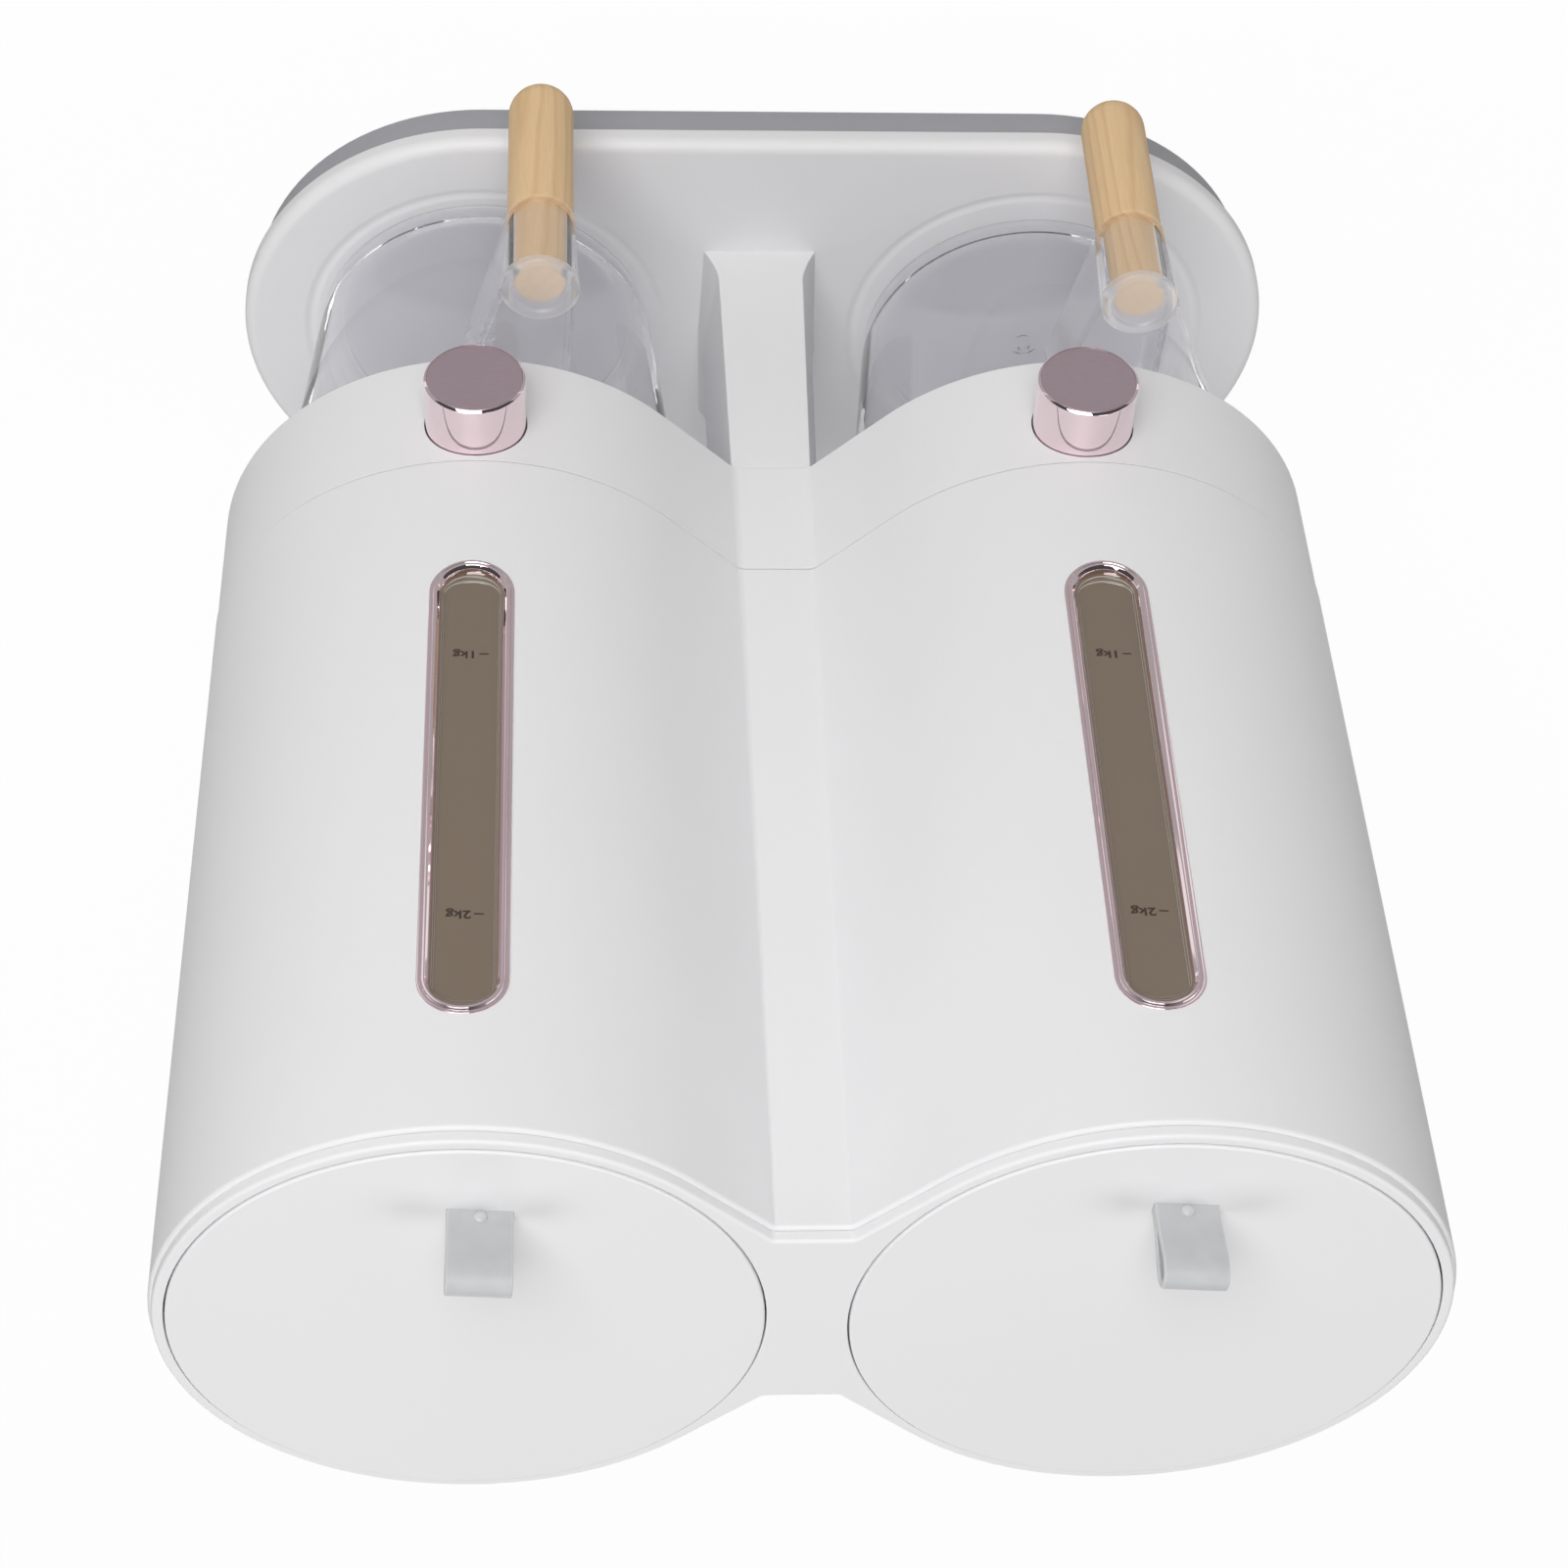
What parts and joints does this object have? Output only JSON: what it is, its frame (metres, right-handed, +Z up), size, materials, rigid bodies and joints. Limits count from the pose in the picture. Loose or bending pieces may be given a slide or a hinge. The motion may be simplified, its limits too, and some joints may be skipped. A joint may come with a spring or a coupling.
{
  "type": "rice dispenser",
  "caption": "Free-standing rice dispenser: side-by-side tapered barrels with lift-off lids, level windows and push-button gates over clear cups with wooden handles.",
  "frame": {"origin": "centre of the base's flat underside", "axes": "+Z up, -Y towards the front with the buttons and windows, +X to the right as seen from the front"},
  "size_m": [0.3084, 0.1755, 0.388],
  "materials": {
    "white_plastic": "smooth satin, moulded white plastic",
    "grey_plastic": "satin, bluish grey moulded plastic",
    "rose_chrome": "polished rose-gold plating",
    "clear_plastic": "clear, polished",
    "hopper_plastic": "taupe, gloss",
    "handle_wood": "pale pine, sanded",
    "strap_leather": "light grey, fine grain",
    "seal_rubber": "soft, translucent white",
    "steel": "bright, plated"
  },
  "bodies": {
    "dispenser": {"base_tray": "grey_plastic", "base_plate": "white_plastic", "base_screws": "steel", "pillar": "white_plastic", "pillar_screws": "steel", "bottom_cover": "white_plastic", "cover_screws": "steel", "collar": "white_plastic", "guide_screws": "steel", "body_shell": "white_plastic", "top_deck": "white_plastic", "left_hopper": "hopper_plastic", "left_funnel": "hopper_plastic", "left_window_bezel": "rose_chrome", "left_window_lens": "clear_plastic", "left_gate_guide": "white_plastic", "left_button_spring": "steel", "right_hopper": "hopper_plastic", "right_funnel": "hopper_plastic", "right_window_bezel": "rose_chrome", "right_window_lens": "clear_plastic", "right_gate_guide": "white_plastic", "right_button_spring": "steel"},
    "left_lid": {"left_lid": "white_plastic", "left_lid_seal": "seal_rubber", "left_lid_strap": "strap_leather", "left_strap_rivet": "steel"},
    "left_button": {"left_button": "rose_chrome", "left_gate": "white_plastic"},
    "left_cup": {"left_cup": "clear_plastic", "left_cup_handle": "handle_wood"},
    "right_lid": {"right_lid": "white_plastic", "right_lid_seal": "seal_rubber", "right_lid_strap": "strap_leather", "right_strap_rivet": "steel"},
    "right_button": {"right_button": "rose_chrome", "right_gate": "white_plastic"},
    "right_cup": {"right_cup": "clear_plastic", "right_cup_handle": "handle_wood"}
  },
  "joints": [
    {"name": "left_lid_lift", "type": "slide", "parent": "dispenser", "child": "left_lid", "axis": [0, 0, 1], "range_m": [0, 0.08]},
    {"name": "left_button_press", "type": "slide", "parent": "dispenser", "child": "left_button", "axis": [0, 1, 0], "range_m": [0, 0.012], "stiffness_N_per_m": 250, "springref_m": -0.004, "deforming": ["left_button_spring"]},
    {"name": "left_cup_pull", "type": "slide", "parent": "dispenser", "child": "left_cup", "axis": [0, -1, 0], "range_m": [0, 0.15]},
    {"name": "right_lid_lift", "type": "slide", "parent": "dispenser", "child": "right_lid", "axis": [0, 0, 1], "range_m": [0, 0.08]},
    {"name": "right_button_press", "type": "slide", "parent": "dispenser", "child": "right_button", "axis": [0, 1, 0], "range_m": [0, 0.012], "stiffness_N_per_m": 250, "springref_m": -0.004, "deforming": ["right_button_spring"]},
    {"name": "right_cup_pull", "type": "slide", "parent": "dispenser", "child": "right_cup", "axis": [0, -1, 0], "range_m": [0, 0.15]}
  ]
}
